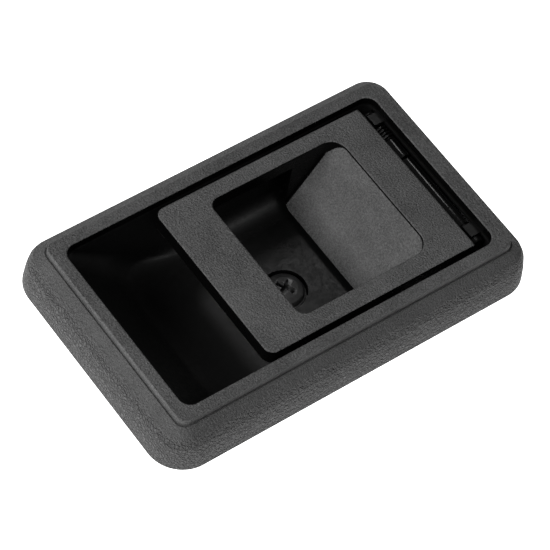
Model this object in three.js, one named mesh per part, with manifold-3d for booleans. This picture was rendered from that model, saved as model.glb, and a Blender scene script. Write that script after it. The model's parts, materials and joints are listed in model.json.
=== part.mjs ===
// Inside release handle of a car door: a lever in a rectangular bezel, over a finger bowl.
// Units are millimetres. +X runs towards the hinge end, +Y across, +Z out of the trim.
// The origin is the middle of the opening, on the back face of the fixing boss.
import * as THREE from 'three';
import { mergeVertices } from 'three/addons/utils/BufferGeometryUtils.js';
import Module from 'manifold-3d';

const wasm = await Module();
wasm.setup();

// ---- driving dimensions ----
const OPEN_X = 49.0; // half length of the opening
const OPEN_Y = 27.5; // half width of the opening
const OPEN_R = 3.3; // corner radius of the opening
const TOP = 28.0; // top of the bezel's ring
const RIM = 14.0; // back edge of the bezel, which seats on the trim
const STRETCH = 1.035; // the bezel's border is this much wider at its ends than along its sides
const LIP = 25.4; // underside of the bezel's ring
const SEAT_GAP = 0.3; // gap kept between pieces that touch

const FACE = 27.5; // face of the lever
const LEVER_X0 = -22.3; // free end of the lever
const LEVER_X1 = 44.4; // hinge end of the lever's plate
const LEVER_Y = 25.66; // half width of the lever
const LEVER_T = 3.0; // thickness of the lever's plate
const LEVER_SKIRT = 4.6; // depth of the lever's edge skirt
const LEVER_R = 2.8; // radius of the lever's free corners
const LEVER_HINGE_R = 1.0; // radius of its corners at the hinge
const WIN_X0 = -8.25; // window through the lever
const WIN_Y0 = -20.1;
const WIN_Y1 = 20.9;
const WIN_R = 2.8;
const RAMP_TOP = [33.0, FACE]; // top edge of the ramp, as x and z
const RAMP_END = [19.3, 6.3]; // bottom edge of the ramp
const RAMP_T = 2.0;
const CHEEK_T = 1.6;

const PIN_X = 46.6; // hinge axis
const PIN_Z = 22.5;
const PIN_R = 1.5;
const RUN = 0.06; // radial running clearance
const BARREL_R = 2.45;
const ROUND = 32; // sides of a running pin or bore

const FLOOR = 4.0; // inside of the bowl's floor
const FLOOR_BACK = 1.7; // back of the bowl's floor
const WALL = 2.0;
const FLANGE_Z = [18.0, 19.7];
const FLANGE_OUT = 6.4;

const SCREW_X = 4.7; // fixing screw
const BOSS_R = 12.0;
const BOSS_SEAT = 2.2; // floor of the screw's counterbore
const SCREW_HOLE_R = 2.75;
const RECESS_R = 6.2;

const ARM_Y = [-13.0, -11.0]; // pull arm, between these planes
const ARM_END = [42.6, -12.0]; // rod hole in the arm, as x and z
const CLIP_R = 2.0;
const RIVETS = [[39.0, 19.0], [39.6, 13.6]]; // rivet centres, as x and z
const RIVET_R = 1.3;

const POSTS = [[-45, -31.8], [-45, 31.8], [45, -31.8], [45, 31.8]]; // bezel screw posts

// ---- colours and surfaces ----
const material = (color, roughness, metalness = 0) =>
  new THREE.MeshStandardMaterial({ color, roughness, metalness });
const PLASTIC = () => material(0x2b2c2d, 0.6);
const BOWL_PLASTIC = () => material(0x17181a, 0.4);
const STEEL = () => material(0x9a9c9e, 0.35, 1);
const DARK_ZINC = () => material(0x26272a, 0.35, 1);
const SPRING_STEEL = () => material(0x6f7073, 0.3, 1);
const DARK_STEEL = () => material(0x3a3b3d, 0.4, 1);
const NYLON = () => material(0x151617, 0.5);
const ACETAL = () => material(0xd9d6cc, 0.5);
const RUBBER = () => material(0x18191a, 0.9);

// ---- loops and lofts ----
// A rounded rectangle as a closed list of [x, y], always with the same number of points.
// The ends at x0 and x1 may have different corner radii.
function roundRect(x0, x1, y0, y1, r, steps = 5, r1 = r) {
  const corners = [
    [x1 - r1, y1 - r1, r1, 0],
    [x0 + r, y1 - r, r, 1],
    [x0 + r, y0 + r, r, 2],
    [x1 - r1, y0 + r1, r1, 3],
  ];
  const points = [];
  for (const [cx, cy, radius, quarter] of corners) {
    for (let i = 0; i <= steps; i += 1) {
      const a = (quarter + i / steps) * Math.PI / 2;
      points.push([cx + radius * Math.cos(a), cy + radius * Math.sin(a)]);
    }
  }
  return points;
}

function offsetLoop(out, z, r) {
  const halfX = OPEN_X + out * STRETCH;
  const halfY = OPEN_Y + out;
  return roundRect(-halfX, halfX, -halfY, halfY, r).map(([x, y]) => [x, y, z]);
}

function signedVolume(positions, index) {
  const corner = (i) => new THREE.Vector3().fromArray(positions, index[i] * 3);
  let sum = 0;
  for (let i = 0; i < index.length; i += 3) {
    sum += corner(i).dot(corner(i + 1).cross(corner(i + 2)));
  }
  return sum / 6;
}

// Skins a list of equal loops. A closed skin joins the last loop to the first; an open one
// gets a flat cap on each end.
function skin(loops, closed) {
  const n = loops[0].length;
  const positions = loops.flat(2);
  const index = [];
  const rows = closed ? loops.length : loops.length - 1;
  for (let i = 0; i < rows; i += 1) {
    const a = i * n;
    const b = ((i + 1) % loops.length) * n;
    for (let j = 0; j < n; j += 1) {
      const k = (j + 1) % n;
      index.push(a + j, a + k, b + k, a + j, b + k, b + j);
    }
  }
  if (!closed) {
    const caps = [[0, true], [loops.length - 1, false]];
    for (const [row, flip] of caps) {
      const flat = loops[row].map(([x, y]) => new THREE.Vector2(x, y));
      for (const [p, q, s] of THREE.ShapeUtils.triangulateShape(flat, [])) {
        const face = flip ? [p, s, q] : [p, q, s];
        index.push(...face.map((v) => row * n + v));
      }
    }
  }
  if (signedVolume(positions, index) < 0) {
    for (let i = 0; i < index.length; i += 3) {
      [index[i + 1], index[i + 2]] = [index[i + 2], index[i + 1]];
    }
  }
  const geometry = new THREE.BufferGeometry();
  geometry.setAttribute('position', new THREE.Float32BufferAttribute(positions, 3));
  geometry.setIndex(index);
  return geometry;
}

// ---- simple shapes ----
// A flat outline in the XZ plane, given as [x, z] points, extruded from y0 to y1.
function slabY(outline, y0, y1) {
  const shape = new THREE.Shape(outline.map(([x, z]) => new THREE.Vector2(x, z)));
  const geometry = new THREE.ExtrudeGeometry(shape, { depth: y1 - y0, bevelEnabled: false });
  geometry.rotateX(Math.PI / 2);
  geometry.translate(0, y1, 0);
  return geometry;
}

// A flat outline in the XY plane, given as [x, y] points, extruded from z0 to z1.
function slabZ(outline, z0, z1) {
  const shape = new THREE.Shape(outline.map(([x, y]) => new THREE.Vector2(x, y)));
  const geometry = new THREE.ExtrudeGeometry(shape, { depth: z1 - z0, bevelEnabled: false });
  geometry.translate(0, 0, z0);
  return geometry;
}

function rodY(r, x, z, y0, y1, sides = ROUND) {
  const geometry = new THREE.CylinderGeometry(r, r, y1 - y0, sides);
  geometry.translate(x, (y0 + y1) / 2, z);
  return geometry;
}

function rodZ(r, x, y, z0, z1, sides = 32) {
  const geometry = new THREE.CylinderGeometry(r, r, z1 - z0, sides);
  geometry.rotateX(Math.PI / 2);
  geometry.translate(x, y, (z0 + z1) / 2);
  return geometry;
}

// A turned piece: a closed [radius, height] profile, or one that starts and ends on the axis.
function turned(profile, sides) {
  const area = profile.reduce((sum, [r, h], i) => {
    const [r2, h2] = profile[(i + 1) % profile.length];
    return sum + r * h2 - r2 * h;
  }, 0);
  const outline = area > 0 ? profile : [...profile].reverse();
  return new THREE.LatheGeometry(outline.map(([r, h]) => new THREE.Vector2(r, h)), sides);
}

function turnedZ(profile, x, y, sides = 32) {
  const geometry = turned(profile, sides);
  geometry.rotateX(Math.PI / 2);
  geometry.translate(x, y, 0);
  return geometry;
}

function turnedY(profile, x, z, sides = ROUND) {
  const geometry = turned(profile, sides);
  geometry.translate(x, 0, z);
  return geometry;
}

function wire(points, r, steps, sides = 8) {
  const section = [];
  for (let i = 0; i < sides; i += 1) {
    const a = (i / sides) * Math.PI * 2;
    section.push(new THREE.Vector2(r * Math.cos(a), r * Math.sin(a)));
  }
  const path = new THREE.CatmullRomCurve3(points.map((p) => new THREE.Vector3(...p)));
  return new THREE.ExtrudeGeometry(new THREE.Shape(section), { steps, extrudePath: path });
}

// ---- joining and cutting ----
function solid(geometry) {
  const bare = geometry.clone();
  bare.deleteAttribute('normal');
  bare.deleteAttribute('uv');
  const merged = mergeVertices(bare, 1e-4);
  const index = [...merged.index.array];
  if (signedVolume([...merged.attributes.position.array], index) < 0) {
    for (let i = 0; i < index.length; i += 3) {
      [index[i + 1], index[i + 2]] = [index[i + 2], index[i + 1]];
    }
  }
  return new wasm.Manifold(new wasm.Mesh({
    numProp: 3,
    vertProperties: new Float32Array(merged.attributes.position.array),
    triVerts: new Uint32Array(index),
  }));
}

function join(...geometries) {
  return geometries.map(solid).reduce((a, b) => a.add(b));
}

function cut(body, ...geometries) {
  return geometries.map(solid).reduce((a, b) => a.subtract(b), body);
}

function toGeometry(body) {
  const mesh = body.getMesh();
  const geometry = new THREE.BufferGeometry();
  const positions = new THREE.Float32BufferAttribute(mesh.vertProperties, 3);
  geometry.setAttribute('position', positions);
  geometry.setIndex([...mesh.triVerts]);
  return geometry;
}

const handle = new THREE.Group();

function place(name, shape, surface) {
  const geometry = shape.isBufferGeometry ? shape : toGeometry(shape);
  if (!geometry.attributes.normal) geometry.computeVertexNormals();
  const mesh = new THREE.Mesh(geometry, surface);
  mesh.name = name;
  handle.add(mesh);
}

// ---- bezel: raised ring, sloped band and a curved skirt, as a shell with four screw posts ----
const POST_R = 1.9;
const POST_FOOT = 20.0;
const POST_BORE = 1.3;
const bezelShell = skin([
  offsetLoop(0.0, TOP - 0.35, OPEN_R),
  offsetLoop(0.35, TOP, OPEN_R + 0.35),
  offsetLoop(3.1, TOP, 2.6),
  offsetLoop(3.4, TOP - 0.3, 2.6),
  offsetLoop(3.6, TOP - 1.7, 2.8),
  offsetLoop(6.8, TOP - 3.7, 6.0),
  offsetLoop(8.0, TOP - 6.2, 7.6),
  offsetLoop(8.8, TOP - 9.4, 9.0),
  offsetLoop(9.4, RIM, 10.0),
  offsetLoop(7.4, RIM, 8.2),
  offsetLoop(6.8, TOP - 9.2, 7.4),
  offsetLoop(6.1, TOP - 6.5, 6.4),
  offsetLoop(5.2, TOP - 5.4, 5.4),
  offsetLoop(2.0, LIP, 3.6),
  offsetLoop(0.0, LIP, OPEN_R),
], true);
const posts = POSTS.map(([x, y]) => rodZ(POST_R, x, y, POST_FOOT, LIP - 0.6, 20));
const postBores = POSTS.map(([x, y]) => rodZ(POST_BORE, x, y, POST_FOOT - 1, LIP - 1.6, 20));
place('bezel', cut(join(bezelShell, ...posts), ...postBores), PLASTIC());

// ---- housing: finger bowl with a sloping end, flange, hinge ears and fixing boss ----
// Rows of the bowl's inside: z, left x, right x, half width, corner radius.
const BOWL = [
  [LIP - SEAT_GAP, -48.7, 48.9, 27.4, 3.3],
  [17.5, -41.8, 48.6, 26.5, 4.2],
  [10.9, -35.6, 48.2, 25.6, 5.6],
  [8.26, -32.5, 47.9, 25.07, 6.4],
  [6.02, -26.5, 46.6, 23.58, 6.9],
  [4.53, -18.5, 44.6, 21.34, 7.0],
  [FLOOR, -11.6, 42.0, 18.7, 7.0],
];
// Rows of the bowl's outside: z, left x, right x, half width, corner radius.
const BOWL_BACK = [
  [LIP - SEAT_GAP, -50.9, 50.9, 29.4, 5.3],
  [17.0, -44.1, 50.6, 28.5, 6.2],
  [9.9, -37.9, 50.2, 27.5, 7.4],
  [6.6, -34.0, 49.6, 26.7, 8.0],
  [3.9, -27.4, 48.0, 24.8, 8.4],
  [2.3, -19.0, 45.6, 22.2, 8.4],
  [FLOOR_BACK, -12.0, 43.0, 19.2, 8.0],
];
const bowlLoop = ([z, x0, x1, y, r]) => roundRect(x0, x1, -y, y, r).map(([px, py]) => [px, py, z]);
const bowl = skin([...BOWL_BACK.map(bowlLoop).reverse(), ...BOWL.map(bowlLoop)], false);
const [FLANGE_LOW, FLANGE_HIGH] = FLANGE_Z;
const FLANGE_HOLE = [-44.3, 49.7, 27.8]; // left x, right x, half width; its edge is inside the wall
const flange = cut(
  join(slabZ(roundRect(-OPEN_X - FLANGE_OUT, OPEN_X + FLANGE_OUT,
    -OPEN_Y - FLANGE_OUT, OPEN_Y + FLANGE_OUT, 7.0), FLANGE_LOW, FLANGE_HIGH)),
  slabZ(roundRect(FLANGE_HOLE[0], FLANGE_HOLE[1], -FLANGE_HOLE[2], FLANGE_HOLE[2], 4.8),
    FLANGE_LOW - 1, FLANGE_HIGH + 1),
);
const EARS = [[-22.0, -18.2], [20.0, 23.5]];
const EAR_OUTLINE = [
  [43.0, FLOOR - 0.6],
  [45.0, FLOOR - 0.2],
  [48.4, 9.5],
  [49.6, 14.0],
  [49.6, LIP - SEAT_GAP],
  [45.6, LIP - SEAT_GAP],
  [43.0, 22.4],
];
const ears = EARS.map(([y0, y1]) => slabY(EAR_OUTLINE, y0, y1));
const springRest = slabY([[41.0, 17.4], [44.0, 15.4], [44.0, 18.9], [41.0, 18.9]], 18.0, 20.6);
const boss = rodZ(BOSS_R, SCREW_X, 0, 0, FLOOR_BACK + 1, 48);
const SLOT = [21.5, 46.0, ARM_Y[0] - 2.6, ARM_Y[1] + 4.4];
const LEDGE_X = [-19.4, -13.8];
const LEDGE_TOP = 19.6;
const ledges = [-1, 1].map((side) => slabZ(
  roundRect(LEDGE_X[0], LEDGE_X[1], Math.min(side * 27.6, side * 22.6),
    Math.max(side * 27.6, side * 22.6), 0.8, 3), LEDGE_TOP - 3.0, LEDGE_TOP,
));
const BUMP_X = -16.6;
const BUMP_Y = 24.6;
const BUMP_HOLE_R = 0.95;
let housing = join(bowl, boss, ...ears, springRest, ...ledges).add(flange);
housing = cut(
  housing,
  rodZ(SCREW_HOLE_R, SCREW_X, 0, -1, FLOOR + 1, 40),
  rodZ(RECESS_R, SCREW_X, 0, BOSS_SEAT, FLOOR + 2, 48),
  slabZ(roundRect(SLOT[0], SLOT[1], SLOT[2], SLOT[3], 1.5), -1, FLOOR + 2),
  rodY(PIN_R + RUN, PIN_X, PIN_Z, -24, 25.5),
  rodY(BARREL_R + SEAT_GAP, PIN_X, PIN_Z, EARS[0][1], EARS[1][0]),
  rodY(BARREL_R + SEAT_GAP, PIN_X, PIN_Z, EARS[0][0] - 2.2, EARS[0][0]),
  rodY(BARREL_R + SEAT_GAP, PIN_X, PIN_Z, EARS[1][1], EARS[1][1] + 1.8),
  ...POSTS.map(([x, y]) => rodZ(1.6, x, y, FLANGE_LOW - 1, FLANGE_HIGH + 1, 20)),
  ...[-1, 1].map((side) => rodZ(BUMP_HOLE_R, BUMP_X, side * BUMP_Y, LEDGE_TOP - 4, LEDGE_TOP + 1, 16)),
);
place('housing', housing, BOWL_PLASTIC());

// ---- lever: plate with a window, edge skirt, ramp, cheeks, hinge barrels and arm web ----
const leverLoop = (inset, z) => roundRect(
  LEVER_X0 + inset, LEVER_X1, -LEVER_Y + inset, LEVER_Y - inset,
  LEVER_R - inset, 5, LEVER_HINGE_R - inset,
).map(([x, y]) => [x, y, z]);
const plate = skin([
  leverLoop(0.2, FACE - LEVER_SKIRT),
  leverLoop(0.0, FACE - LEVER_SKIRT + 0.3),
  leverLoop(0.0, FACE - 0.5),
  leverLoop(0.5, FACE),
], false);
const hollow = slabZ(roundRect(LEVER_X0 + 1.8, LEVER_X1 + 4, -LEVER_Y + 1.8, LEVER_Y - 1.8, 1.4),
  FACE - LEVER_SKIRT - 1, FACE - LEVER_T);
const hingeRelief = slabZ(roundRect(37.5, LEVER_X1 + 4, -LEVER_Y - 4, LEVER_Y + 4, 0.5, 2),
  FACE - LEVER_SKIRT - 1, FACE - LEVER_T);
const windowCut = slabZ(roundRect(WIN_X0, RAMP_TOP[0] + 0.2, WIN_Y0, WIN_Y1, WIN_R), 0, TOP + 2);
const WIN_RIM = 1.6;
const windowRim = slabZ(
  roundRect(WIN_X0 - WIN_RIM, RAMP_TOP[0] + 2, WIN_Y0 - WIN_RIM, WIN_Y1 + WIN_RIM, WIN_R + WIN_RIM),
  FACE - LEVER_SKIRT, FACE - 1,
);
const RAMP_DIR = new THREE.Vector2(RAMP_END[0] - RAMP_TOP[0], RAMP_END[1] - RAMP_TOP[1]).normalize();
const RAMP_BACK = [-RAMP_DIR.y * RAMP_T, RAMP_DIR.x * RAMP_T];
const rampOutline = [
  RAMP_TOP,
  RAMP_END,
  [RAMP_END[0] + RAMP_BACK[0], RAMP_END[1] + RAMP_BACK[1]],
  [RAMP_TOP[0] + RAMP_BACK[0] + 0.8, RAMP_TOP[1] - 2.2],
  [RAMP_TOP[0] + RAMP_BACK[0] + 0.8, RAMP_TOP[1] - 0.4],
];
const ramp = slabY(rampOutline, WIN_Y0 - CHEEK_T, WIN_Y1 + CHEEK_T);
const cheekOutline = [
  [RAMP_TOP[0] + 1.5, FACE - LEVER_T + 0.4],
  [18.6, FACE - LEVER_T + 0.4],
  [18.6, 7.4],
  RAMP_END,
  [RAMP_END[0] + 1.2, RAMP_END[1]],
];
const cheeks = [
  slabY(cheekOutline, WIN_Y0 - CHEEK_T, WIN_Y0),
  slabY(cheekOutline, WIN_Y1, WIN_Y1 + CHEEK_T),
];
const KNUCKLES = [[-17.5, 7.2], [8.0, 14.5]];
const LEAF_OUTLINE = [
  [40.0, FACE - LEVER_T + 0.4],
  [LEVER_X1, FACE - 1.6],
  [LEVER_X1 + 0.6, PIN_Z + 1.2],
  [PIN_X, PIN_Z + 1.2],
  [PIN_X, PIN_Z - 1.2],
  [42.6, PIN_Z - 1.2],
  [39.6, PIN_Z + 0.8],
];
const leaves = KNUCKLES.map(([y0, y1]) => slabY(LEAF_OUTLINE, y0, y1));
const barrels = KNUCKLES.map(([y0, y1]) => rodY(BARREL_R, PIN_X, PIN_Z, y0, y1));
const WEB_Y = [ARM_Y[1] + 0.1, ARM_Y[1] + 2.6];
const WEB_OUTLINE = [
  [36.4, FACE - LEVER_T + 0.4],
  [36.4, 20.0],
  [37.0, 11.6],
  [42.0, 11.6],
  [42.6, 22.0],
  [42.6, FACE - LEVER_T + 0.4],
];
const web = slabY(WEB_OUTLINE, WEB_Y[0], WEB_Y[1]);
let lever = cut(join(plate), hollow, hingeRelief).add(join(windowRim));
lever = cut(lever, windowCut).add(join(ramp, ...cheeks, ...leaves, ...barrels, web));
lever = cut(
  lever,
  rodY(PIN_R + RUN, PIN_X, PIN_Z, -30, 30),
  ...RIVETS.map(([x, z]) => rodY(RIVET_R + RUN, x, z, WEB_Y[0] - 2, WEB_Y[1] + 2, 24)),
);
place('lever', lever, PLASTIC());

// ---- hinge: headed pin, push-on clip, two flanged bushes and a torsion spring ----
const PIN_HEAD_Y = -23.9;
const PIN_TAIL_Y = 25.0;
place('pivot_pin', turnedY([
  [0, PIN_HEAD_Y],
  [2.2, PIN_HEAD_Y],
  [2.4, PIN_HEAD_Y + 0.3],
  [2.4, PIN_HEAD_Y + 1.6],
  [PIN_R, PIN_HEAD_Y + 1.6],
  [PIN_R, PIN_TAIL_Y - 0.3],
  [PIN_R - 0.3, PIN_TAIL_Y],
  [0, PIN_TAIL_Y],
], PIN_X, PIN_Z), DARK_STEEL());
const CLIP_OUT = 2.4;
place('pin_clip', turnedY([
  [PIN_R + 0.05, 23.8],
  [CLIP_OUT, 23.8],
  [CLIP_OUT, 24.5],
  [PIN_R + 0.05, 24.5],
  [PIN_R + 0.05, 23.8],
], PIN_X, PIN_Z, 32), DARK_STEEL());

const BUSH_R = 2.35;
const bushProfile = (y0, y1) => [
  [PIN_R + RUN, y0],
  [BUSH_R, y0],
  [BUSH_R, y1],
  [PIN_R + RUN, y1],
  [PIN_R + RUN, y0],
];
place('hinge_bush_near', turnedY(bushProfile(-18.1, -17.6), PIN_X, PIN_Z), NYLON());
place('hinge_bush_far', turnedY(bushProfile(14.6, 15.1), PIN_X, PIN_Z), NYLON());

const SPRING_R = 2.15; // radius of the spring's centre line
const SPRING_WIRE = 0.4;
const SPRING_TURNS = 3.5;
const SPRING_Y = [15.7, 19.3];
const SPRING_START = Math.PI * 0.56; // angle at which the coil leaves the lever's leg
const springPath = [[40.8, SPRING_Y[0], 23.7], [43.4, SPRING_Y[0], 23.8]];
const COIL_STEPS = SPRING_TURNS * 10;
for (let i = 0; i <= COIL_STEPS; i += 1) {
  const a = SPRING_START - (i / COIL_STEPS) * SPRING_TURNS * Math.PI * 2;
  springPath.push([
    PIN_X + SPRING_R * Math.cos(a),
    SPRING_Y[0] + (SPRING_Y[1] - SPRING_Y[0]) * (i / COIL_STEPS),
    PIN_Z + SPRING_R * Math.sin(a),
  ]);
}
springPath.push([44.2, SPRING_Y[1], 19.8], [41.6, SPRING_Y[1], 19.6]);
place('return_spring', wire(springPath, SPRING_WIRE, 84, 6), SPRING_STEEL());

// ---- pull arm with its rivets and rod clip ----
const armShape = new THREE.Shape([
  [37.0, 21.6], [36.6, 11.6], [38.4, 4.0], [39.2, -12.0], [40.2, -14.4], [42.6, -15.4],
  [45.0, -14.4], [46.0, -12.0], [43.4, 4.0], [42.2, 12.0], [41.8, 21.6],
].map(([x, z]) => new THREE.Vector2(x, z)));
const armPlate = new THREE.ExtrudeGeometry(armShape, { depth: ARM_Y[1] - ARM_Y[0], bevelEnabled: false });
armPlate.rotateX(Math.PI / 2);
armPlate.translate(0, ARM_Y[1], 0);
place('pull_arm', cut(
  join(armPlate),
  rodY(CLIP_R + RUN, ARM_END[0], ARM_END[1], ARM_Y[0] - 1, ARM_Y[1] + 1),
  ...RIVETS.map(([x, z]) => rodY(RIVET_R + RUN, x, z, ARM_Y[0] - 1, ARM_Y[1] + 1, 24)),
), STEEL());

RIVETS.forEach(([x, z], i) => {
  const low = ARM_Y[0] - 0.1;
  const high = WEB_Y[1] + 0.1;
  place(`arm_rivet_${i + 1}`, turnedY([
    [0, low - 1.2], [1.5, low - 1.0], [2.3, low - 0.4], [2.3, low], [RIVET_R, low],
    [RIVET_R, high], [2.3, high], [2.3, high + 0.4], [1.5, high + 1.0], [0, high + 1.2],
  ], x, z, 24), STEEL());
});

const CLIP_Y = [ARM_Y[0] - 4.2, ARM_Y[0] - 0.3];
const clipBody = rodY(3.6, ARM_END[0], ARM_END[1], CLIP_Y[0], CLIP_Y[1], 32);
const clipPin = rodY(CLIP_R, ARM_END[0], ARM_END[1], CLIP_Y[1] - 1, ARM_Y[1] + 0.3);
const clipHead = turnedY([
  [0, ARM_Y[1] + 0.25], [2.7, ARM_Y[1] + 0.25], [2.7, ARM_Y[1] + 0.8], [1.6, ARM_Y[1] + 2.0],
  [0, ARM_Y[1] + 2.0],
], ARM_END[0], ARM_END[1], 32);
const ROD_BORE_R = 1.6;
const clipRodBore = new THREE.CylinderGeometry(ROD_BORE_R, ROD_BORE_R, 12, 24);
clipRodBore.rotateZ(Math.PI / 2);
clipRodBore.translate(ARM_END[0], (CLIP_Y[0] + CLIP_Y[1]) / 2, ARM_END[1]);
place('rod_clip', cut(join(clipBody, clipPin, clipHead), clipRodBore), ACETAL());

// ---- fixing screw and washer in the bowl's floor ----
const WASHER_Z = [BOSS_SEAT + 0.1, BOSS_SEAT + 0.8];
place('fixing_washer', turnedZ([
  [SCREW_HOLE_R, WASHER_Z[0]],
  [5.7, WASHER_Z[0]],
  [5.7, WASHER_Z[1]],
  [SCREW_HOLE_R, WASHER_Z[1]],
  [SCREW_HOLE_R, WASHER_Z[0]],
], SCREW_X, 0), DARK_ZINC());

const HEAD_Z = WASHER_Z[1] + 0.1;
const HEAD_R = 5.4;
const SHANK_R = 2.4;
const screwProfile = [
  [0, -9.0], [1.2, -9.0], [SHANK_R, -7.4], [SHANK_R, HEAD_Z], [HEAD_R - 0.1, HEAD_Z],
  [HEAD_R, HEAD_Z + 0.5], [HEAD_R - 0.6, HEAD_Z + 1.3], [HEAD_R - 1.8, HEAD_Z + 1.9],
  [1.5, HEAD_Z + 2.2], [0, HEAD_Z + 2.3],
];
const screwBlank = turnedZ(screwProfile, SCREW_X, 0, 40);
const CROSS = [2.6, 0.55];
const crossArms = [
  slabZ(roundRect(SCREW_X - CROSS[0], SCREW_X + CROSS[0], -CROSS[1], CROSS[1], 0.2, 2),
    HEAD_Z + 0.7, HEAD_Z + 4),
  slabZ(roundRect(SCREW_X - CROSS[1], SCREW_X + CROSS[1], -CROSS[0], CROSS[0], 0.2, 2),
    HEAD_Z + 0.7, HEAD_Z + 4),
];
place('fixing_screw', cut(join(screwBlank), ...crossArms), DARK_ZINC());

// ---- four self-tapping screws hold the housing's flange to the bezel's posts ----
POSTS.forEach(([x, y], i) => {
  const seat = FLANGE_LOW - 0.1;
  const blank = turnedZ([
    [0, seat - 1.7], [1.3, seat - 1.6], [2.1, seat - 0.8], [2.2, seat], [1.2, seat],
    [1.2, LIP - 2.4], [0.4, LIP - 1.9], [0, LIP - 1.9],
  ], x, y, 20);
  const slot = slabZ(roundRect(x - 1.2, x + 1.2, y - 0.3, y + 0.3, 0.1, 1), seat - 3, seat - 1.1);
  place(`bezel_screw_${i + 1}`, cut(join(blank), slot), DARK_ZINC());
});

// ---- two rubber stops under the free corners of the lever ----
[-1, 1].forEach((side, i) => {
  const top = FACE - LEVER_SKIRT - 0.15;
  place(`bump_stop_${i + 1}`, turnedZ([
    [0, LEDGE_TOP - 3.8], [0.9, LEDGE_TOP - 3.8], [0.9, LEDGE_TOP + 0.05], [1.5, LEDGE_TOP + 0.05],
    [1.5, top - 0.5], [1.0, top], [0, top],
  ], BUMP_X, side * BUMP_Y, 20), RUBBER());
});

export default handle;
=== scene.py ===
# Looks of the car door handle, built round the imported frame. Lengths are in millimetres
# until a mesh is made, and heights are those of the frame.
import json
import math

import bmesh
import bpy
from mathutils import Matrix, Vector


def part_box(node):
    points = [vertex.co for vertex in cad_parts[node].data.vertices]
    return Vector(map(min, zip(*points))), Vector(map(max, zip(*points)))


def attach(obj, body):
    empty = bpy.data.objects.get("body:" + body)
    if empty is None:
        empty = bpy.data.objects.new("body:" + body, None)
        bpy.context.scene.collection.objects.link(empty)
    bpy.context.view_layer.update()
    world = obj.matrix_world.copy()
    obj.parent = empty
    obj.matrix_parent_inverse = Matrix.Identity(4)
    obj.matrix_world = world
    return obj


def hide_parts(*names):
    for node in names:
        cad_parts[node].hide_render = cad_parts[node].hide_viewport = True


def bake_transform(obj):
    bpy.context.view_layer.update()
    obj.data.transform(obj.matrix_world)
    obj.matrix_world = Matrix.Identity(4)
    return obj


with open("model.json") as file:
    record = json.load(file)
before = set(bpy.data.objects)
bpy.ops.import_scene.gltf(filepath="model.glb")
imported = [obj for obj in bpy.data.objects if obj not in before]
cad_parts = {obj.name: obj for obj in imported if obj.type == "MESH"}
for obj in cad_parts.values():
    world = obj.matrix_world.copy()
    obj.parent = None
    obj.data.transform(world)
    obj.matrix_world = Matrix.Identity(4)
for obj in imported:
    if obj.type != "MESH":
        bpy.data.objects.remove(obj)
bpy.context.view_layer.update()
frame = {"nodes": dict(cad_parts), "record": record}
MM = 0.001


def node_box(name):
    lo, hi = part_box(name)
    return [v / MM for v in lo], [v / MM for v in hi]


BEZEL_LO, BEZEL_HI = node_box("bezel")
LEVER_LO, LEVER_HI = node_box("lever")
HOUSING_LO, HOUSING_HI = node_box("housing")
SCREW_LO, SCREW_HI = node_box("fixing_screw")
HINGE = next(j for j in frame["record"]["behaviour"]["joints"] if j["name"] == "lever_hinge")
PIN_X, PIN_Z = HINGE["pos_m"][0] / MM, HINGE["pos_m"][2] / MM

TOP = BEZEL_HI[2]
RIM = BEZEL_LO[2]
SKIRT = 9.4
STRETCH = 1.035
OPEN_X = BEZEL_HI[0] - SKIRT * STRETCH
OPEN_Y = BEZEL_HI[1] - SKIRT
LIP = TOP - 2.6
FACE = LEVER_HI[2]
FLOOR = 4.0
SCREW_X = (SCREW_LO[0] + SCREW_HI[0]) / 2
ARM_LO, ARM_HI = node_box("pull_arm")
FLANGE_LOW, FLANGE_HIGH = 18.0, 19.7
FLANGE_OUT = 6.4
POST_X, POST_Y = 45, 31.8
POSTS = [(sx * POST_X, sy * POST_Y) for sx in (-1, 1) for sy in (-1, 1)]
PIN_BORE = 1.56
BARREL_R = 2.45
BARREL_ROOM = 2.75
EAR_NEAR = (-22.0, -18.2)
EAR_FAR = (20.0, 23.5)
SCREW_HOLE = 2.75
RECESS_R, RECESS_Z = 6.2, 2.2
BOSS_R = 12.0
BUMP_X, BUMP_Y = -16.6, 24.6


# ---- mesh helpers ----
def make(name, verts, faces, body, mat, slot, smooth=True):
    mesh = bpy.data.meshes.new(name)
    mesh.from_pydata([[c * MM for c in v] for v in verts], [], faces)
    mesh.validate()
    obj = bpy.data.objects.new(name, mesh)
    bpy.context.collection.objects.link(obj)
    finish_mesh(obj, smooth)
    if mat:
        mesh.materials.append(mat)
    if body:
        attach(obj, body)
    return obj


def finish_mesh(obj, smooth=True, weld=1e-7):
    bm = bmesh.new()
    bm.from_mesh(obj.data)
    bmesh.ops.remove_doubles(bm, verts=bm.verts, dist=weld)
    bmesh.ops.recalc_face_normals(bm, faces=bm.faces)
    for f in bm.faces:
        f.smooth = smooth
    bm.to_mesh(obj.data)
    bm.free()


def corner_rect(x0, x1, y0, y1, radii, steps=10, side=6):
    """A rounded rectangle with its own radius at each corner: +x+y, -x+y, -x-y, +x-y."""
    r = radii if isinstance(radii, (list, tuple)) else [radii] * 4
    centres = [(x1 - r[0], y1 - r[0]), (x0 + r[1], y1 - r[1]),
               (x0 + r[2], y0 + r[2]), (x1 - r[3], y0 + r[3])]
    arcs = []
    for q, (cx, cy) in enumerate(centres):
        arcs.append([(cx + r[q] * math.cos((q + i / steps) * math.pi / 2),
                      cy + r[q] * math.sin((q + i / steps) * math.pi / 2)) for i in range(steps + 1)])
    pts = []
    for q in range(4):
        pts += arcs[q]
        a, b = arcs[q][-1], arcs[(q + 1) % 4][0]
        pts += [(a[0] + (b[0] - a[0]) * i / side, a[1] + (b[1] - a[1]) * i / side)
                for i in range(1, side)]
    return pts


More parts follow.
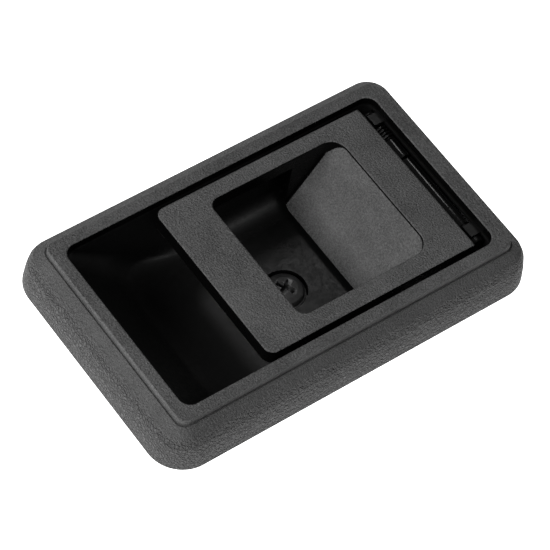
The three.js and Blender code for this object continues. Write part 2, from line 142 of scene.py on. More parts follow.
def skin(loops, closed):
    n = len(loops[0])
    verts = [v for loop in loops for v in loop]
    faces = []
    rows = len(loops) if closed else len(loops) - 1
    for i in range(rows):
        a, b = i * n, ((i + 1) % len(loops)) * n
        faces += [(a + j, a + (j + 1) % n, b + (j + 1) % n, b + j) for j in range(n)]
    if not closed:
        faces.append(tuple(range(n)))
        faces.append(tuple(range((len(loops) - 1) * n, len(loops) * n)))
    return verts, faces


def fillet(points, steps=5, closed=False):
    """Rounds a polyline of [u, v, w..., radius] points; the other values blend along it."""
    out = []
    count = len(points)
    for i, p in enumerate(points):
        radius = p[-1]
        if radius <= 0 or (not closed and i in (0, count - 1)):
            out.append(tuple(p[:-1]))
            continue
        a, b, c = (Vector(points[(i + k) % count][:-1]) for k in (-1, 0, 1))
        la, lc = (a - b).to_2d().length, (c - b).to_2d().length
        angle = (a - b).to_2d().angle((c - b).to_2d())
        reach = min(radius / math.tan(angle / 2), la * 0.49, lc * 0.49)
        start = b + (a - b) * (reach / la)
        end = b + (c - b) * (reach / lc)
        for k in range(steps + 1):
            t = k / steps
            # A quadratic blend stays inside the corner and is tangent at both ends.
            q = start * (1 - t) ** 2 + b * 2 * t * (1 - t) + end * t ** 2
            out.append(tuple(q))
    return out


def lathe(profile, sides, axis, centre):
    """Turns [radius, height] points round an axis ("Y" or "Z") through centre (two values)."""
    loops = []
    for r, h in profile:
        ring = []
        for i in range(sides):
            a = 2 * math.pi * i / sides
            u, v = centre[0] + r * math.cos(a), centre[1] + r * math.sin(a)
            ring.append((u, h, v) if axis == "Y" else (u, v, h))
        loops.append(ring)
    return loops


def evaluated(obj):
    graph = bpy.context.evaluated_depsgraph_get()
    mesh = bpy.data.meshes.new_from_object(obj.evaluated_get(graph))
    obj.modifiers.clear()
    obj.data = mesh


def boolean(obj, tools, operation):
    for tool in tools:
        mod = obj.modifiers.new("cut", "BOOLEAN")
        mod.operation = operation
        mod.solver = "EXACT"
        mod.object = tool
        evaluated(obj)
        bpy.data.objects.remove(tool)


def bevel(obj, width, angle=35, segments=3):
    mod = obj.modifiers.new("edge", "BEVEL")
    mod.width = width * MM
    mod.segments = segments
    mod.limit_method = "ANGLE"
    mod.angle_limit = math.radians(angle)
    mod.harden_normals = False
    mod.use_clamp_overlap = True


def weigh_normals(obj):
    mod = obj.modifiers.new("normals", "WEIGHTED_NORMAL")
    mod.keep_sharp = True
    mod.weight = 80


def sharpen(obj, degrees):
    bm = bmesh.new()
    bm.from_mesh(obj.data)
    limit = math.radians(degrees)
    for e in bm.edges:
        e.smooth = not (len(e.link_faces) == 2 and e.calc_face_angle(0) > limit)
    for f in bm.faces:
        f.smooth = True
    bm.to_mesh(obj.data)
    bm.free()


def paint(obj, mat, chosen):
    """Gives faces a second material where chosen(centre in mm, normal) is true."""
    obj.data.materials.append(mat)
    last = len(obj.data.materials) - 1
    for poly in obj.data.polygons:
        if chosen(poly.center / MM, poly.normal):
            poly.material_index = last


def refine(node, body, mat, width):
    """A finely edged copy of a CAD node: flat faces joined up, edges rounded."""
    obj = bpy.data.objects.new(node + "_fine", frame["nodes"][node].data.copy())
    bpy.context.collection.objects.link(obj)
    bm = bmesh.new()
    bm.from_mesh(obj.data)
    bmesh.ops.remove_doubles(bm, verts=bm.verts, dist=1e-6)
    bmesh.ops.dissolve_limit(bm, angle_limit=math.radians(1.0), verts=bm.verts, edges=bm.edges)
    bmesh.ops.recalc_face_normals(bm, faces=bm.faces)
    bm.to_mesh(obj.data)
    bm.free()
    bevel(obj, width, 28, 2)
    evaluated(obj)
    sharpen(obj, 38)
    obj.data.materials.clear()
    obj.data.materials.append(mat)
    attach(obj, body)
    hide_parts(node)


# ---- materials ----
class Surface:
    """A Principled material with helpers for the procedural nodes it needs."""

    def __init__(self, name):
        self.mat = bpy.data.materials.new(name)
        self.mat.use_nodes = True
        self.tree = self.mat.node_tree
        self.shader = self.tree.nodes["Principled BSDF"]
        self.coords = self.tree.nodes.new("ShaderNodeTexCoord").outputs["Object"]

    def node(self, kind, **props):
        made = self.tree.nodes.new(kind)
        for key, value in props.items():
            if key in made.inputs:
                made.inputs[key].default_value = value
            else:
                setattr(made, key, value)
        return made

    def link(self, a, b):
        self.tree.links.new(a, b)

    def noise(self, scale, detail=2.0, rough=0.5, vector=None):
        made = self.node("ShaderNodeTexNoise")
        made.inputs["Scale"].default_value = scale
        made.inputs["Detail"].default_value = detail
        made.inputs["Roughness"].default_value = rough
        self.link(vector or self.coords, made.inputs["Vector"])
        return made.outputs["Fac"]

    def voronoi(self, scale, feature="F1", vector=None):
        made = self.node("ShaderNodeTexVoronoi", feature=feature)
        made.inputs["Scale"].default_value = scale
        self.link(vector or self.coords, made.inputs["Vector"])
        return made.outputs["Distance"]

    def remap(self, source, low, high, to_low=0.0, to_high=1.0):
        made = self.node("ShaderNodeMapRange")
        made.interpolation_type = "SMOOTHSTEP"
        made.inputs["From Min"].default_value = low
        made.inputs["From Max"].default_value = high
        made.inputs["To Min"].default_value = to_low
        made.inputs["To Max"].default_value = to_high
        self.link(source, made.inputs["Value"])
        return made.outputs["Result"]

    def math(self, operation, a, b):
        made = self.node("ShaderNodeMath", operation=operation)
        for socket, value in zip(made.inputs, (a, b)):
            if isinstance(value, (int, float)):
                socket.default_value = value
            else:
                self.link(value, socket)
        return made.outputs["Value"]

    def mix(self, color, other, factor):
        made = self.node("ShaderNodeMix", data_type="RGBA")
        color_in = [i for i in made.inputs if i.name == "A" and i.type == "RGBA"][0]
        other_in = [i for i in made.inputs if i.name == "B" and i.type == "RGBA"][0]
        other_in.default_value = (*other, 1)
        self.link(color, color_in)
        self.link(factor, made.inputs["Factor"])
        return [o for o in made.outputs if o.type == "RGBA"][0]

    def ramp(self, source, stops):
        made = self.node("ShaderNodeValToRGB")
        elements = made.color_ramp.elements
        while len(elements) < len(stops):
            elements.new(0.5)
        for element, (place, color) in zip(elements, stops):
            element.position = place
            element.color = (*color, 1)
        self.link(source, made.inputs["Fac"])
        return made.outputs["Color"]

    def bump(self, height, distance, strength=1.0, normal=None):
        made = self.node("ShaderNodeBump")
        made.inputs["Strength"].default_value = strength
        made.inputs["Distance"].default_value = distance
        self.link(height, made.inputs["Height"])
        if normal:
            self.link(normal, made.inputs["Normal"])
        return made.outputs["Normal"]

    def height_z(self):
        split = self.node("ShaderNodeSeparateXYZ")
        self.link(self.coords, split.inputs["Vector"])
        return split.outputs["Z"]


def grey(value):
    return (value, value, value)


def moulded_plastic(name, base, rough, spark=1.0, skirt=False):
    s = Surface(name)
    # Broad, faint changes of tone, as moulded parts have, under a fine eroded texture.
    cloud = s.noise(90, 3, 0.55)
    fine = s.noise(2300, 3, 0.7)
    tone = s.math("ADD", s.math("MULTIPLY", cloud, 0.25), s.math("MULTIPLY", fine, 0.75))
    color = s.ramp(tone, [(0.40, grey(base * 0.50)), (0.60, grey(base * 1.55))])
    roughness = s.remap(s.noise(1500, 2, 0.6), 0.3, 0.7, rough - 0.07, rough + 0.08)
    normal = s.bump(s.noise(1900, 3, 0.7), 0.00045, spark)
    normal = s.bump(s.noise(420, 2, 0.5), 0.00010, 0.15, normal)
    dust = s.remap(s.voronoi(170), 0.016, 0.028, 0.35, 0.0)
    color = s.mix(color, grey(0.30), dust)
    if skirt:
        height = s.height_z()
        # Below the ring's step the whole skirt is painted darker than the ring: painted shade.
        skirt_painted_shade = s.remap(height, (TOP - 1.9) * MM, (TOP - 1.0) * MM, 0.52, 0.0)
        color = s.mix(color, grey(base * 0.45), skirt_painted_shade)
        # Leather grain: pebbles with soft valleys, only on the skirt; the valleys are painted darker
        # as painted shade.
        wobble = s.node("ShaderNodeTexNoise")
        wobble.inputs["Scale"].default_value = 620
        wobble.inputs["Detail"].default_value = 3
        s.link(s.coords, wobble.inputs["Vector"])
        shift = s.node("ShaderNodeVectorMath", operation="MULTIPLY_ADD")
        s.link(wobble.outputs["Color"], shift.inputs[0])
        shift.inputs[1].default_value = (0.0011, 0.0011, 0.0011)
        s.link(s.coords, shift.inputs[2])
        cells = s.voronoi(980, "DISTANCE_TO_EDGE", shift.outputs["Vector"])
        valley = s.remap(cells, 0.0, 0.28)
        wrinkle = s.noise(1700, 3, 0.65)
        pebble = s.math("ADD", s.math("MULTIPLY", valley, 0.7), s.math("MULTIPLY", wrinkle, 0.6))
        mask = s.remap(height, (TOP - 5.2) * MM, (TOP - 3.2) * MM, 1.0, 0.0)
        normal = s.bump(s.math("MULTIPLY", pebble, mask), 0.0008, 1.0, normal)
        # Painted shade in the grain's valleys.
        shade = s.math("MULTIPLY", s.remap(pebble, 0.95, 0.40, 0.0, 0.95), mask)
        color = s.mix(color, grey(base * 0.22), shade)
    s.link(color, s.shader.inputs["Base Color"])
    s.link(roughness, s.shader.inputs["Roughness"])
    s.link(normal, s.shader.inputs["Normal"])
    s.shader.inputs["IOR"].default_value = 1.5
    return s.mat


def smooth_plastic(name, base, rough, level):
    s = Surface(name)
    cloud = s.noise(60, 3, 0.6)
    color = s.ramp(cloud, [(0.3, grey(base * 0.75)), (0.7, grey(base * 1.3))])
    s.link(color, s.shader.inputs["Base Color"])
    s.link(s.remap(s.noise(900, 3, 0.6), 0.3, 0.7, rough - 0.05, rough + 0.07),
           s.shader.inputs["Roughness"])
    normal = s.bump(s.noise(1500, 3, 0.65), 0.00004, 0.30)
    normal = s.bump(s.noise(160, 2, 0.5), 0.0002, 0.10, normal)
    s.link(normal, s.shader.inputs["Normal"])
    s.shader.inputs["Specular IOR Level"].default_value = level
    return s.mat


def metal(name, dark, light, rough):
    s = Surface(name)
    stretch = s.node("ShaderNodeMapping")
    stretch.inputs["Scale"].default_value = (1.0, 0.06, 1.0)
    s.link(s.coords, stretch.inputs["Vector"])
    streak = s.noise(5200, 3, 0.6, vector=stretch.outputs["Vector"])
    cloud = s.noise(260, 3, 0.6)
    tone = s.math("ADD", s.math("MULTIPLY", cloud, 0.6), s.math("MULTIPLY", streak, 0.4))
    color = s.ramp(tone, [(0.32, grey(dark)), (0.68, grey(light))])
    s.link(color, s.shader.inputs["Base Color"])
    s.link(s.remap(streak, 0.3, 0.7, rough - 0.07, rough + 0.1), s.shader.inputs["Roughness"])
    s.link(s.bump(streak, 0.00002, 0.3), s.shader.inputs["Normal"])
    s.shader.inputs["Metallic"].default_value = 1.0
    return s.mat


def acetal():
    s = Surface("acetal_fine")
    cloud = s.noise(240, 3, 0.6)
    color = s.ramp(cloud, [(0.3, (0.62, 0.59, 0.52)), (0.7, (0.74, 0.72, 0.66))])
    s.link(color, s.shader.inputs["Base Color"])
    s.link(s.remap(s.noise(1800, 2), 0.3, 0.7, 0.38, 0.52), s.shader.inputs["Roughness"])
    s.link(s.bump(s.noise(2400, 2), 0.00003, 0.25), s.shader.inputs["Normal"])
    s.shader.inputs["Subsurface Weight"].default_value = 0.15
    s.shader.inputs["Subsurface Scale"].default_value = 0.001
    return s.mat


def rubber():
    s = Surface("rubber_fine")
    cloud = s.noise(500, 3, 0.6)
    s.link(s.ramp(cloud, [(0.3, grey(0.012)), (0.7, grey(0.024))]), s.shader.inputs["Base Color"])
    s.link(s.remap(s.noise(2600, 2), 0.3, 0.7, 0.7, 0.88), s.shader.inputs["Roughness"])
    s.link(s.bump(s.noise(3000, 2), 0.00004, 0.4), s.shader.inputs["Normal"])
    return s.mat


BEZEL_MAT = moulded_plastic("bezel_plastic", 0.041, 0.62, 1.0, skirt=True)
LEVER_MAT = moulded_plastic("lever_plastic", 0.046, 0.60, 1.1)
# Near-black smooth plastic for faces that sit in shade: the opening's inner walls, the lever's sides
# and underside, the ramp's cheeks, and the hidden leaves and web. The smooth finish is real; the
# near-black colour is painted shade.
SHADE_BLACK_MAT = smooth_plastic("smooth_black_painted_shade", 0.0008, 0.30, 0.08)
# Glossy black for the hinge barrels: the glossy finish is real; the near-black colour is painted
# shade for the dark hinge gap.
GLOSS_SHADE_BLACK_MAT = smooth_plastic("gloss_black_painted_shade", 0.0008, 0.14, 0.34)
# The bowl's glossy black is real; its near-zero colour and weak specular are painted shade for the
# deep, dark bowl.
BOWL_MAT = smooth_plastic("bowl_plastic_fine", 0.0020, 0.40, 0.38)
NYLON_MAT = smooth_plastic("black_nylon_fine", 0.0015, 0.34, 0.16)
DARK_STEEL_MAT = metal("dark_steel_fine", 0.018, 0.035, 0.30)
STEEL_MAT = metal("zinc_steel", 0.46, 0.62, 0.32)
SPRING_MAT = metal("spring_wire", 0.03, 0.07, 0.26)
DARK_MAT = metal("black_zinc", 0.09, 0.17, 0.46)
ACETAL_MAT = acetal()
RUBBER_MAT = rubber()


# ---- bezel ----
def inside_skirt(c):
    return abs(c.x) < OPEN_X + 0.3 and abs(c.y) < OPEN_Y + 0.3


def bezel():
    # Outline offset from the opening, height, corner radius, rounding of the profile.
    outer = [
        (0.0, LIP, 3.3, 0.25),
        (0.0, TOP, 3.3, 0.45),
        (3.4, TOP, 2.6, 0.35),
        (3.5, TOP - 2.0, 2.7, 0.12),
        (3.95, TOP - 1.75, 3.0, 0.25),
        (6.8, TOP - 3.7, 6.0, 1.5),
        (8.05, TOP - 6.3, 7.7, 2.0),
        (8.85, TOP - 9.6, 9.1, 2.0),
        (9.4, RIM, 10.0, 0.25),
        (7.4, RIM, 8.2, 0.25),
        (6.8, TOP - 9.2, 7.4, 0.0),
        (6.1, TOP - 6.5, 6.4, 0.0),
        (5.2, TOP - 5.4, 5.4, 0.0),
        (2.0, LIP, 3.6, 0.0),
    ]
    loops = []
    for out, z, r in fillet(outer, 6, closed=True):
        wide = OPEN_X + out * STRETCH
        loops.append([(x, y, z) for x, y in corner_rect(
            -wide, wide, -OPEN_Y - out, OPEN_Y + out, r, 14, 10)])
    verts, faces = skin(loops, True)
    obj = make("bezel_fine", verts, faces, "housing", BEZEL_MAT, "black_plastic")
    # The opening's inner walls are painted near-black: painted shade in the gap under the ring, over
    # a real smooth finish.
    paint(obj, SHADE_BLACK_MAT, lambda c, n: inside_skirt(c) and n.z < 0.55)
    weigh_normals(obj)
    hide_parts("bezel")
    profile = fillet([(0.9, 20.0, 0), (1.9, 20.0, 0.25), (1.9, LIP - 0.6, 0), (0.9, LIP - 0.6, 0)], 3)
    for x, y in POSTS:
        side = "left" if x < 0 else "right"
        row = "near" if y < 0 else "far"
        post = skin(lathe(profile, 32, "Z", (x, y)), True)
        piece = make(f"bezel_post_{side}_{row}", *post, "housing", BEZEL_MAT, "black_plastic")
        sharpen(piece, 50)


bezel()


# ---- housing: bowl with smooth walls, joined to its flange, ears and boss ----
BOWL = [
    (HOUSING_HI[2], -48.7, 48.9, 27.4, 3.3),
    (21.2, -45.3, 48.75, 26.95, 3.7),
    (17.5, -41.8, 48.6, 26.5, 4.2),
    (14.0, -38.5, 48.4, 26.05, 4.9),
    (10.9, -35.6, 48.2, 25.6, 5.6),
    (8.26, -32.5, 47.9, 25.07, 6.4),
    (6.02, -26.5, 46.6, 23.58, 6.9),
    (4.53, -18.5, 44.6, 21.34, 7.0),
    (FLOOR, -11.6, 42.0, 18.7, 7.0),
]
BOWL_BACK = [
    (HOUSING_HI[2], -50.9, 50.9, 29.4, 5.3),
    (17.0, -44.1, 50.6, 28.5, 6.2),
    (9.9, -37.9, 50.2, 27.5, 7.4),
    (6.6, -34.0, 49.6, 26.7, 8.0),
    (3.9, -27.4, 48.0, 24.8, 8.4),
    (2.3, -19.0, 45.6, 22.2, 8.4),
    (1.7, -12.0, 43.0, 19.2, 8.0),
]


def smooth_rows(rows, steps):
    out = []
    for i in range(len(rows) - 1):
        p = [rows[max(i - 1, 0)], rows[i], rows[i + 1], rows[min(i + 2, len(rows) - 1)]]
        for k in range(steps):
            t = k / steps
            row = []
            for a, b, c, d in zip(*p):
                row.append(0.5 * (2 * b + (c - a) * t + (2 * a - 5 * b + 4 * c - d) * t * t
                                  + (3 * b - a - 3 * c + d) * t ** 3))
            out.append(tuple(row))
    out.append(rows[-1])
    return out


def block(x0, x1, y0, y1, z0, z1, r=0.0):
    pts = corner_rect(x0, x1, y0, y1, max(r, 0.01), 6, 1)
    return skin([[(x, y, z0) for x, y in pts], [(x, y, z1) for x, y in pts]], False)


def wall_y(outline, y0, y1):
    return skin([[(x, y0, z) for x, z in outline], [(x, y1, z) for x, z in outline]], False)


def rod(r, y0, y1, sides=48):
    """A cylinder along the hinge's axis."""
    return skin(lathe([(r, y0), (r, y1)], sides, "Y", (PIN_X, PIN_Z)), False)


def stud(r, x, y, z0, z1, sides=48):
    return skin(lathe([(r, z0), (r, z1)], sides, "Z", (x, y)), False)


def tool(data):
    return make("tool", *data, None, None, None, smooth=False)


def housing():
    def row(data, soft=0.0):
        z, x0, x1, y, r = data
        # The corners of the slope at the free end are fuller than the others.
        full = r + soft * min(max((HOUSING_HI[2] - z) / 10, 0), 1)
        return [(px, py, z) for px, py in corner_rect(x0, x1, -y, y, [r, full, full, r], 12, 8)]

    inside = [row(d, 4.5) for d in smooth_rows(BOWL, 5)]
    outside = [row(d) for d in smooth_rows(BOWL_BACK, 3)]
    obj = tool(skin(outside[::-1] + inside, False))
    obj.name = "housing_fine"
    flange = tool(block(-OPEN_X - FLANGE_OUT, OPEN_X + FLANGE_OUT, -OPEN_Y - FLANGE_OUT,
                        OPEN_Y + FLANGE_OUT, FLANGE_LOW, FLANGE_HIGH, 7.0))
    boolean(flange, [tool(block(-44.6, 49.7, -27.8, 27.8, 17, 21, 4.8))], "DIFFERENCE")
    ear = [(43.0, FLOOR - 0.6), (45.0, FLOOR - 0.2), (48.4, 9.5), (49.6, 14.0),
           (49.6, HOUSING_HI[2]), (45.6, HOUSING_HI[2]), (43.0, 22.4)]
    rest = [(41.0, 17.4), (44.0, 15.4), (44.0, 18.9), (41.0, 18.9)]
    parts = [flange, tool(stud(BOSS_R, SCREW_X, 0, HOUSING_LO[2], 2.7, 72)),
             tool(wall_y(ear, *EAR_NEAR)), tool(wall_y(ear, *EAR_FAR)),
             tool(wall_y(rest, 18.0, 20.6)),
             tool(block(-19.4, -13.8, -27.6, -22.6, 16.6, 19.6, 0.8)),
             tool(block(-19.4, -13.8, 22.6, 27.6, 16.6, 19.6, 0.8))]
    boolean(obj, parts, "UNION")
    cuts = [tool(stud(SCREW_HOLE, SCREW_X, 0, -1, 5)),
            tool(stud(RECESS_R, SCREW_X, 0, RECESS_Z, 6, 72)),
            tool(block(21.5, 46.0, ARM_LO[1] - 2.6, ARM_HI[1] + 4.4, -1, 6, 1.5)),
            tool(rod(PIN_BORE, -24, 25.5)),
            tool(rod(BARREL_ROOM, EAR_NEAR[1], EAR_FAR[0], 64)),
            tool(rod(BARREL_ROOM, EAR_NEAR[0] - 2.2, EAR_NEAR[0], 64)),
            tool(rod(BARREL_ROOM, EAR_FAR[1], EAR_FAR[1] + 1.8, 64))]
    cuts += [tool(stud(1.6, x, y, 17, 21, 32)) for x, y in POSTS]
    cuts += [tool(stud(0.95, BUMP_X, side * BUMP_Y, 15.6, 20.6, 24)) for side in (-1, 1)]
    boolean(obj, cuts, "DIFFERENCE")
    finish_mesh(obj, True, 1e-6)
    sharpen(obj, 32)
    obj.data.materials.clear()
    obj.data.materials.append(BOWL_MAT)
    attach(obj, "housing")
    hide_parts("housing")


housing()


# ---- lever ----
LEVER_X0 = LEVER_LO[0]
LEVER_X1 = 44.4
LEVER_Y = LEVER_HI[1]
WIN = (-8.25, 33.0, -20.1, 20.9)
SKIRT_Z = FACE - 4.6
UNDER_Z = FACE - 3.0
RAMP_END = (19.3, 6.3)


def plate():
    def edge(inset, z):
        free, hinged = max(2.8 - inset, 0.9), max(1.0 - inset * 0.3, 0.5)
        return [(x, y, z) for x, y in corner_rect(
            LEVER_X0 + inset, LEVER_X1 - inset, -LEVER_Y + inset, LEVER_Y - inset,
            [hinged, free, free, hinged], 10, 12)]

    def window(out, z):
        radii = [4.6 + out, 2.8 + out, 2.8 + out, 4.6 + out]
        return [(x, y, z) for x, y in corner_rect(
            WIN[0] - out, WIN[1] + out, WIN[2] - out, WIN[3] + out, radii, 10, 12)]

    outer = fillet([(1.8, SKIRT_Z, 0), (0.0, SKIRT_Z, 0.25), (0.0, FACE, 0.6), (1.2, FACE, 0)], 6)
    inner = fillet([(1.6, FACE, 0), (0.0, FACE, 0.6), (0.0, SKIRT_Z, 0.25), (1.6, SKIRT_Z, 0)], 6)
    loops = [edge(i, z) for i, z in outer] + [window(o, z) for o, z in inner]
    loops += [window(1.6, UNDER_Z), edge(1.8, UNDER_Z)]
    verts, faces = skin(loops, True)
    # The hinge edge curves down over the barrels.
    start, reach, drop = LEVER_X1 - 1.8, 1.8, 1.3
    shaped = []
    for x, y, z in verts:
        if x > start and z > UNDER_Z:
            z -= drop * ((x - start) / reach) ** 2 * (z - UNDER_Z) / (FACE - UNDER_Z)
        if x > start - 2.0 and z < UNDER_Z:
            z = UNDER_Z
        shaped.append((x, y, z))
    return shaped, faces


def channel():
    """Ramp and cheeks as one thick U, following the ramp from the window's edge down."""
    top = Vector((WIN[1] + 0.35, FACE - 0.12))
    end = Vector(RAMP_END)
    back = Vector((-(end - top).normalized().y, (end - top).normalized().x)) * 2.0
    steps = 40
    broad = 2.6
    y0, y1 = WIN[2] - 0.03, WIN[3] + 0.03
    rows = []
    for i in range(steps + 1):
        t = i / steps
        c = top.lerp(end, t)
        # A shallow bow keeps the ramp from looking ruled.
        c += Vector((back.x, back.y)) * (0.10 * math.sin(math.pi * t))
        lid = max(FACE - 2.6, c.y)
        r = min(broad, max(lid - c.y, 0.0))
        row = [(c.x, y1, lid)]
        row += [(c.x, y1 - r * (1 - math.cos(a)), c.y + r * (1 - math.sin(a)))
                for a in [k / 12 * math.pi / 2 for k in range(13)]]
        row += [(c.x, y1 - broad + (y0 - y1 + 2 * broad) * k / 16, c.y) for k in range(1, 16)]
        row += [(c.x, y0 + r * (1 - math.cos(a)), c.y + r * (1 - math.sin(a)))
                for a in [(12 - k) / 12 * math.pi / 2 for k in range(13)]]
        row.append((c.x, y0, lid))
        rows.append(row)
    n = len(rows[0])
    under = []
    for row in rows:
        base = row[n // 2]
        out = []
        for x, y, z in row:
            wide = 1.6 if y > 0 else -1.6
            at_wall = abs(y - (y1 if y > 0 else y0)) < broad + 0.1
            shift_y = wide if at_wall else 0
            low = base[2] + back.y
            frac = min(max((z - base[2]) / broad, 0), 1) if at_wall else 0
            out.append((x + back.x * (1 - frac), min(max(y + shift_y, y0 - 1.6), y1 + 1.6),
                        z if frac >= 1 else low + (z - low) * frac if frac else low))
        under.append(out)
    verts = [v for row in rows for v in row] + [v for row in under for v in row]
    m = len(rows) * n
    faces = []
    for i in range(len(rows) - 1):
        for j in range(n - 1):
            a, b = i * n + j, (i + 1) * n + j
            faces.append((a, a + 1, b + 1, b))
            faces.append((m + a, m + b, m + b + 1, m + a + 1))
        for j in (0, n - 1):
            a, b = i * n + j, (i + 1) * n + j
            faces.append((a, b, m + b, m + a))
    for i in (0, len(rows) - 1):
        for j in range(n - 1):
            a = i * n + j
            faces.append((a, a + 1, m + a + 1, m + a))
    return verts, faces


def lever():
    face = make("lever_plate", *plate(), "lever", LEVER_MAT, "black_plastic")
    # The lever's sides, underside and the strip along its hinge edge are painted near-black: painted
    # shade.
    paint(face, SHADE_BLACK_MAT, lambda c, n: n.z < 0.62 or c.x > LEVER_X1 - 0.75)
    weigh_normals(face)
    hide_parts("lever")
    ramp = make("lever_ramp", *channel(), "lever", LEVER_MAT, "black_plastic")
    # The ramp's cheeks and underside are painted near-black: painted shade.
    paint(ramp, SHADE_BLACK_MAT, lambda c, n: abs(n.y) > 0.62 or n.z < 0.05)
    bevel(ramp, 0.3, 50, 3)
    sharpen(ramp, 60)
    weigh_normals(ramp)
    for name, (y0, y1) in {"near": (-17.5, 7.2), "far": (8.0, 14.5)}.items():
        profile = fillet([(PIN_BORE, y0, 0), (BARREL_R, y0, 0.25), (BARREL_R, y1, 0.25),
                          (PIN_BORE, y1, 0)], 4)
        # The barrels are painted glossy near-black: painted shade in the hinge gap.
        barrel = make(f"lever_barrel_{name}", *skin(lathe(profile, 64, "Y", (PIN_X, PIN_Z)), True),
                      "lever", GLOSS_SHADE_BLACK_MAT, "black_plastic")
        sharpen(barrel, 40)
        leaf = [(40.0, UNDER_Z + 0.4), (LEVER_X1, FACE - 1.9), (LEVER_X1 + 0.6, PIN_Z + 1.2),
                (PIN_X - 1.9, PIN_Z + 1.2), (PIN_X - 1.9, PIN_Z - 1.2), (42.6, PIN_Z - 1.2),
                (39.6, PIN_Z + 0.8)]
        # The leaves are painted near-black: painted shade under the hinge edge.
        piece = make(f"lever_leaf_{name}", *wall_y(leaf, y0, y1), "lever", SHADE_BLACK_MAT,
                     "black_plastic")
        bevel(piece, 0.3, 30, 3)
        sharpen(piece, 50)
    web = [(36.4, UNDER_Z + 0.4), (36.4, 20.0), (37.0, 11.6), (42.0, 11.6), (42.6, 22.0),
           (42.6, UNDER_Z + 0.4)]
    # The web is painted near-black: painted shade under the plate.
    piece = make("lever_web", *wall_y(web, ARM_HI[1] + 0.1, ARM_HI[1] + 2.6), "lever", SHADE_BLACK_MAT,
                 "black_plastic")
    bevel(piece, 0.3, 30, 2)
    sharpen(piece, 50)


lever()


# ---- fixing screw, spring and the small parts ----
def fixing_screw():
    head = SCREW_HI[2] - 2.3
    profile = fillet([
        (0.05, SCREW_LO[2], 0), (1.2, SCREW_LO[2], 0.2), (2.4, SCREW_LO[2] + 1.6, 0.3),
        (2.4, head, 0.1), (5.3, head, 0.15), (5.4, head + 0.5, 0.3), (4.8, head + 1.25, 1.0),
        (3.4, head + 1.85, 1.5), (1.7, head + 2.2, 1.5), (0.05, head + 2.28, 0)], 5)
    obj = tool(skin(lathe(profile, 96, "Z", (SCREW_X, 0)), False))
    cutters = []
    for turn in (0, 1):
        base = corner_rect(-1.8, 1.8, -0.55, 0.55, 0.15, 4, 1)
        mouth = corner_rect(-3.0, 3.0, -0.85, 0.85, 0.2, 4, 1)
        spin = Matrix.Rotation(math.radians(28 + 90 * turn), 2)
        loops = []
        for pts, z in ((base, head - 0.6), (mouth, head + 2.6)):
            loops.append([(SCREW_X + (spin @ Vector(p)).x, (spin @ Vector(p)).y, z) for p in pts])
        cutters.append(tool(skin(loops, False)))
    boolean(obj, cutters, "DIFFERENCE")
    finish_mesh(obj, True, 1e-6)
    bevel(obj, 0.10, 40, 2)
    evaluated(obj)
    sharpen(obj, 40)
    obj.name = "fixing_screw_fine"
    obj.data.materials.clear()
    obj.data.materials.append(DARK_MAT)
    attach(obj, "housing")
    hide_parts("fixing_screw")


def tube(name, path, r, sides, mat):
    """A round wire along a path, with flat ends."""
    pts = [Vector(p) for p in path]
    loops = []
    side = Vector((0, 1, 0))
    for i, p in enumerate(pts):
        d = (pts[min(i + 1, len(pts) - 1)] - pts[max(i - 1, 0)]).normalized()
        side = (side - d * side.dot(d)).normalized()
        up = d.cross(side)
        loops.append([tuple(p + side * r * math.cos(a) + up * r * math.sin(a))
                      for a in (2 * math.pi * k / sides for k in range(sides))])
    obj = make(name, *skin(loops, False), None, mat, None)
    sharpen(obj, 60)
    return obj


def return_spring():
    y0, y1, r, turns, start = 15.7, 19.3, 2.15, 3.5, math.pi * 0.56
    path = [(40.8, y0, 23.7), (42.1, y0, 23.74), (43.4, y0, 23.8), (44.9, y0, 24.25)]
    steps = int(turns * 32)
    for i in range(steps + 1):
        a = start - i / steps * turns * 2 * math.pi
        path.append((PIN_X + r * math.cos(a), y0 + (y1 - y0) * i / steps, PIN_Z + r * math.sin(a)))
    path += [(45.6, y1, 20.1), (44.2, y1, 19.8), (41.6, y1, 19.6)]
    obj = tube("return_spring_fine", path, 0.4, 14, SPRING_MAT)
    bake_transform(obj)
    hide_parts("return_spring")


fixing_screw()
return_spring()
refine("fixing_washer", "housing", DARK_MAT, 0.1)
refine("pivot_pin", "housing", DARK_STEEL_MAT, 0.1)
refine("pin_clip", "housing", DARK_STEEL_MAT, 0.08)
refine("hinge_bush_near", "housing", NYLON_MAT, 0.06)
refine("hinge_bush_far", "housing", NYLON_MAT, 0.06)
refine("pull_arm", "lever", STEEL_MAT, 0.2)
refine("arm_rivet_1", "lever", STEEL_MAT, 0.08)
refine("arm_rivet_2", "lever", STEEL_MAT, 0.08)
refine("rod_clip", "rod_clip", ACETAL_MAT, 0.25)
for number in (1, 2, 3, 4):
    refine(f"bezel_screw_{number}", "housing", DARK_MAT, 0.08)
for number in (1, 2):
    refine(f"bump_stop_{number}", "housing", RUBBER_MAT, 0.12)


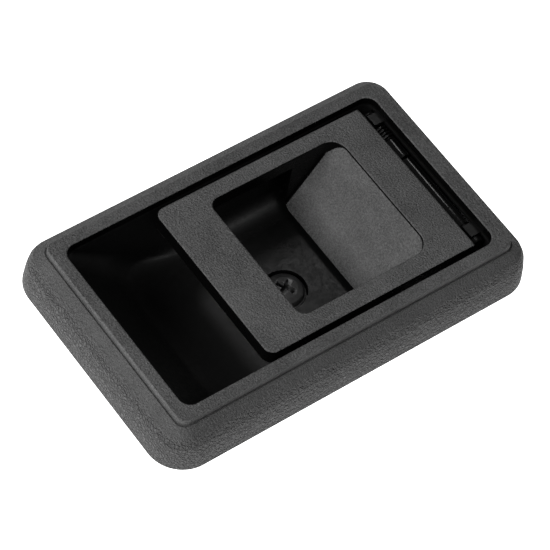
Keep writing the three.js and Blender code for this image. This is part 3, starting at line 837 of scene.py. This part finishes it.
# ---- stage, light and camera ----
def stage():
    # A pale floor like a light table, which also lights the skirt from below.
    s = Surface("pale_floor")
    cloud = s.noise(3, 2, 0.5)
    tone = s.ramp(cloud, [(0.3, grey(0.93)), (0.7, grey(0.95))])
    s.link(tone, s.shader.inputs["Base Color"])
    s.link(tone, s.shader.inputs["Emission Color"])
    s.shader.inputs["Emission Strength"].default_value = 1.22
    s.shader.inputs["Roughness"].default_value = 0.9
    half, z = 3000, -170.0
    floor = make("floor", [(-half, -half, z), (half, -half, z), (half, half, z), (-half, half, z)],
                 [(0, 1, 2, 3)], None, s.mat, None, smooth=False)


def softbox(name, where, target, size, power):
    data = bpy.data.lights.new(name, "AREA")
    data.shape = "RECTANGLE"
    data.size, data.size_y = size
    data.energy = power
    light = bpy.data.objects.new(name, data)
    light.location = where
    light.rotation_euler = (Vector(target) - Vector(where)).to_track_quat("-Z", "Y").to_euler()
    bpy.context.collection.objects.link(light)


def studio():
    world = bpy.data.worlds.new("studio")
    world.use_nodes = True
    back = world.node_tree.nodes["Background"]
    back.inputs["Color"].default_value = (1, 1, 1, 1)
    back.inputs["Strength"].default_value = 0.16
    bpy.context.scene.world = world
    softbox("key", (-0.90, 0.02, 0.64), (0, 0, 0.02), (0.7, 0.4), 21)
    softbox("front", (0.30, -0.80, 0.62), (0, 0, 0.02), (0.9, 0.3), 1.2)
    softbox("rim", (0.36, 0.42, 0.86), (0, 0, 0.02), (0.10, 0.30), 0.6)


def camera():
    data = bpy.data.cameras.new("photo_camera")
    data.sensor_width = 36
    data.lens = 191.8
    data.clip_start = 0.05
    cam = bpy.data.objects.new("photo_camera", data)
    right, up, forward = (0.8045, -0.581, 0.1233), (0.4255, 0.7086, 0.5629), (0.4144, 0.4004, -0.8173)
    turn = Matrix((right, up, [-v for v in forward])).transposed().to_4x4()
    place = Vector((-314.6, -303.8, 606.5 + TOP)) * MM
    cam.matrix_world = Matrix.Translation(place) @ turn
    bpy.context.collection.objects.link(cam)
    bpy.context.scene.camera = cam


stage()
studio()
camera()
bpy.context.scene.view_settings.view_transform = "Standard"
